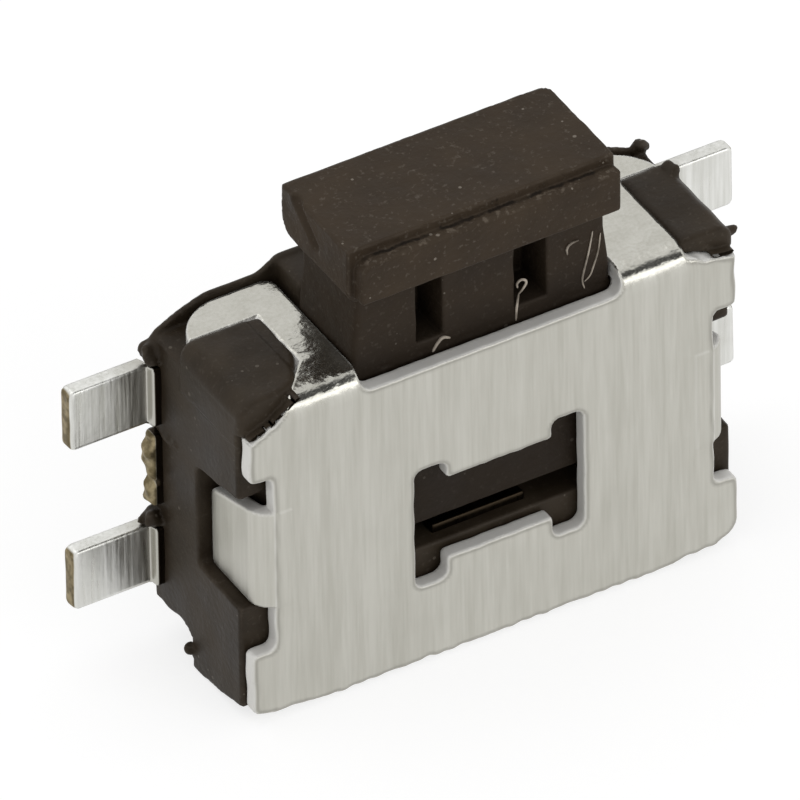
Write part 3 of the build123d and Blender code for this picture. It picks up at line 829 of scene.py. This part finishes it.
def cover_outline(x, y, z):
    """Distance outside the sheet's outline: seen from the front for the face, from above for the flange, less
    the window, the gate for the button and the corner notches."""
    ax = abs(x)
    shear = 0.006 * ripple(x, y * 0, z, 0.22, 41)
    torn = 0.010 * ripple(x, y, z, 0.15, 42)
    foot = COVER_FOOT + 0.055 * np.clip((ax - 1.72) / 0.10, 0, 1)
    centre = trimmed(foot + shear - z, ax - NOTCH_END, 0.02)
    low_ear = plate(ax, z, (0, COVER_FOOT + 0.055), (EAR_HALF, 0.76), 0.05)
    nipped = np.where(x < 0, 0.02, 0.13)
    low_ear = trimmed(low_ear, (ax - EAR_HALF + nipped) * 0.62 + (COVER_FOOT + 0.06 - z) * 0.78, 0.06)
    high_ear = plate(ax, z, (0, 2.59), (EAR_HALF, 5), 0.05)
    face = joined(joined(centre, low_ear, 0.10), high_ear, 0.10) + shear
    flange = plate(x, y, (-FLANGE_HALF, -1), (FLANGE_HALF, FLANGE_BACK), FLANGE_CORNER)
    outline = np.where(y < BEND + 0.3, face, flange)
    notch = np.maximum(block_inner(x) + 0.012 - ax, y - BLOCK_BACK - 0.015)
    notch = np.maximum(notch, block_corner(x, y) + 0.012)
    notch = trimmed(notch, notch_floor(x) + torn - z, 0.06)
    beyond = np.clip((y - FLANGE_BACK + 0.12) / 0.12, 0, 1)
    gate_half = GATE_HALF + 0.12 * (1 - np.sqrt(1 - beyond * beyond))
    gate = plate(ax - gate_half, z, (-9, GATE_FOOT), (0, 6), 0.12) + 0.3 * shear
    from_middle = x - WINDOW_SHIFT
    slot = plate(from_middle, z, (-0.56, 1.055), (0.56, 1.90), 0.02)
    lobe = plate(abs(from_middle), z, (0.51, 0.84), (0.82, 2.08), 0.09)
    window = joined(slot, lobe, 0.04) + 0.6 * shear
    return trimmed(outline, -joined(gate, np.minimum(window, notch)), 0.0)


def tab_outline(x, y, z):
    """Distance outside a side tab's outline, seen from the side."""
    taper = np.clip((y - SHEET) / 0.65, 0, 1)
    edges = np.maximum(1.205 + 0.01 * taper - z, z - 2.205 + 0.19 * taper)
    return np.maximum(trimmed(edges, y - 0.80, 0.06), 1.95 - abs(x))


def cover_field(x, y, z):
    """The bent sheet trimmed by its outline, and the side tabs, bent back round the housing."""
    face = trimmed(turned_sheet(y, z - COVER_TOP, BEND), cover_outline(x, y, z), 0.03)
    tab = trimmed(turned_sheet(y, abs(x) - TAB_FACE, TAB_BEND), tab_outline(x, y, z), 0.03)
    return joined(face, tab, 0.02)


def cut_face(x, y, z):
    """1 on the sheet's punched edges and 0 on its rolled faces."""
    face_sheet, face_cut = turned_sheet(y, z - COVER_TOP, BEND), cover_outline(x, y, z)
    tab_sheet, tab_cut = turned_sheet(y, abs(x) - TAB_FACE, TAB_BEND), tab_outline(x, y, z)
    in_face = np.maximum(face_sheet, face_cut) < np.maximum(tab_sheet, tab_cut)
    return np.clip(np.where(in_face, face_cut - face_sheet, tab_cut - tab_sheet) / 0.02 + 0.5, 0, 1)


def rollover_shade_line(x, y, z):
    """1 along the line just inside the punched edge, seen on the face, where the rollover is painted dark as
    shade.
    """
    return np.exp(-(((cover_outline(x, y, z) + 0.028) / 0.014) ** 2)) * (y < 0.03)


def cover_steel():
    """Satin stainless strip: upright rolling lines and faint blotches, paler edges that are partly rubbed and
    partly a painted highlight, a painted dark shade line along the punched edge's rollover, and a ripple on the
    bend and the flange where the sheet was drawn round."""
    made = bpy.data.materials.new("cover_steel")
    made.use_nodes = True
    tree = made.node_tree
    shader = tree.nodes["Principled BSDF"]
    grain = node(tree, "ShaderNodeGroup", node_tree=GRAIN)
    place = node(tree, "ShaderNodeTexCoord").outputs["Object"]
    apart = node(tree, "ShaderNodeSeparateXYZ", {0: place})
    edge = node(tree, "ShaderNodeAttribute", attribute_name="edge").outputs["Fac"]
    tone = blend(tree, ramp(tree, grain.outputs["Lines"], 0.36, 0.64), (0.47, 0.46, 0.41, 1), (0.56, 0.55,
                                                                                               0.50, 1))
    tone = blend(tree, ramp(tree, grain.outputs["Blotch"], 0.5, 0.75, 0.0, 0.25), tone, (0.43, 0.42, 0.37, 1))
    cut = node(tree, "ShaderNodeAttribute", attribute_name="cut").outputs["Fac"]
    rim = node(tree, "ShaderNodeAttribute", attribute_name="rim").outputs["Fac"]
    # painted shade: a dark line along the rollover of the punched edge
    tone = blend(tree, math_node(tree, "MULTIPLY", rim, 0.45), tone, (0.16, 0.15, 0.13, 1))
    tone = blend(tree, math_node(tree, "MULTIPLY", cut, 0.9), tone, (0.80, 0.79, 0.76, 1))
    # paler edges: partly rubbed wear, partly a painted highlight along the edges
    tone = blend(tree, ramp(tree, edge, 0.3, 0.9, 0.0, 0.3), tone, (0.66, 0.65, 0.61, 1))
    tree.links.new(tone, shader.inputs["Base Color"])
    tree.links.new(ramp(tree, cut, 0.0, 1.0, 1.0, 0.25), shader.inputs["Metallic"])
    on_bend = ramp(tree, apart.outputs["Z"], 3.10 * MM, 3.26 * MM)
    satin = ramp(tree, grain.outputs["Lines"], 0.35, 0.65, 0.36, 0.48)
    gloss = math_node(tree, "MULTIPLY", satin, ramp(tree, on_bend, 0.0, 1.0, 1.0, 0.45))
    gloss = math_node(tree, "ADD", gloss, math_node(tree, "MULTIPLY", cut, 0.15))
    tree.links.new(gloss, shader.inputs["Roughness"])
    drawn = noise(tree, place, 5.0, 3.0, (1.0, 1.3, 1.0))
    drawn = math_node(tree, "MULTIPLY", drawn, ramp(tree, on_bend, 0.3, 1.0, 0.0, 2.2))
    relief = math_node(tree, "ADD", math_node(tree, "MULTIPLY", grain.outputs["Height"], 0.5), drawn)
    bump = node(tree, "ShaderNodeBump", {"Height": relief, "Distance": 0.012 * MM, "Strength": 0.6})
    tree.links.new(bump.outputs["Normal"], shader.inputs["Normal"])
    return made


cover = skin("cover_sheet", cover_field, (-2.37, -0.01, 0.04), (2.37, 1.55, 3.36), 0.0235,
             {"cut": cut_face, "rim": rollover_shade_line})
cover.data.materials.append(cover_steel())
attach(cover, "body")
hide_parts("cover")
